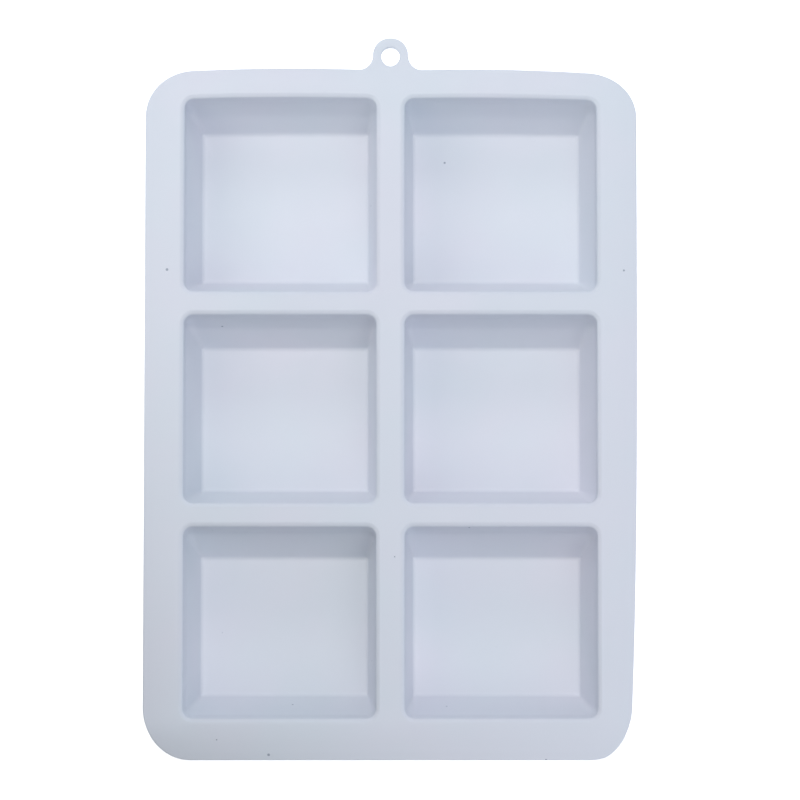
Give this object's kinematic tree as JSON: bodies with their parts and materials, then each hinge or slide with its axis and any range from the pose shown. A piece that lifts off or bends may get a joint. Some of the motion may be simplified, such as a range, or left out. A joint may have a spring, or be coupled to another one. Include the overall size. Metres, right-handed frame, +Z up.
{
  "type": "silicone soap mould",
  "caption": "Flexible silicone tray mould with square tapered cavities in two columns, a rounded flat flange and a small hanging loop at one end.",
  "frame": {"origin": "centre of the bounding box, on the plane that the cavity floors rest on", "axes": "+Z up out of the cavity mouths, +Y along the length towards the hanging loop, +X to the right across the two columns"},
  "size_m": [0.175, 0.2574, 0.027],
  "materials": {
    "silicone": "smooth matte moulded silicone, pale blue with a hint of lilac"
  },
  "bodies": {
    "middle_row": {"middle_row_deck": "silicone", "middle_left_walls": "silicone", "middle_right_walls": "silicone", "far_fold_web": "silicone", "near_fold_web": "silicone"},
    "far_row": {"far_row_deck": "silicone", "far_left_walls": "silicone", "far_right_walls": "silicone"},
    "near_row": {"near_row_deck": "silicone", "near_left_walls": "silicone", "near_right_walls": "silicone"},
    "far_left_floor": {"far_left_floor": "silicone"},
    "far_right_floor": {"far_right_floor": "silicone"},
    "middle_left_floor": {"middle_left_floor": "silicone"},
    "middle_right_floor": {"middle_right_floor": "silicone"},
    "near_left_floor": {"near_left_floor": "silicone"},
    "near_right_floor": {"near_right_floor": "silicone"},
    "hanging_loop": {"hanging_loop": "silicone"}
  },
  "joints": [
    {"name": "far_row_fold", "type": "hinge", "parent": "middle_row", "child": "far_row", "pos_m": [0, 0.0342, 0.0258], "axis": [1, 0, 0], "range_deg": [-25, 75], "stiffness_Nm_per_rad": 0.08, "deforming": ["far_fold_web"]},
    {"name": "near_row_fold", "type": "hinge", "parent": "middle_row", "child": "near_row", "pos_m": [0, -0.0426, 0.0258], "axis": [-1, 0, 0], "range_deg": [-25, 75], "stiffness_Nm_per_rad": 0.08, "deforming": ["near_fold_web"]},
    {"name": "far_left_push_out", "type": "slide", "parent": "far_row", "child": "far_left_floor", "axis": [0, 0, 1], "range_m": [0, 0.01], "stiffness_N_per_m": 600},
    {"name": "far_right_push_out", "type": "slide", "parent": "far_row", "child": "far_right_floor", "axis": [0, 0, 1], "range_m": [0, 0.01], "stiffness_N_per_m": 600},
    {"name": "middle_left_push_out", "type": "slide", "parent": "middle_row", "child": "middle_left_floor", "axis": [0, 0, 1], "range_m": [0, 0.01], "stiffness_N_per_m": 600},
    {"name": "middle_right_push_out", "type": "slide", "parent": "middle_row", "child": "middle_right_floor", "axis": [0, 0, 1], "range_m": [0, 0.01], "stiffness_N_per_m": 600},
    {"name": "near_left_push_out", "type": "slide", "parent": "near_row", "child": "near_left_floor", "axis": [0, 0, 1], "range_m": [0, 0.01], "stiffness_N_per_m": 600},
    {"name": "near_right_push_out", "type": "slide", "parent": "near_row", "child": "near_right_floor", "axis": [0, 0, 1], "range_m": [0, 0.01], "stiffness_N_per_m": 600},
    {"name": "loop_bend", "type": "hinge", "parent": "far_row", "child": "hanging_loop", "pos_m": [0, 0.11775, 0.0258], "axis": [1, 0, 0], "range_deg": [-45, 45], "stiffness_Nm_per_rad": 0.005}
  ]
}
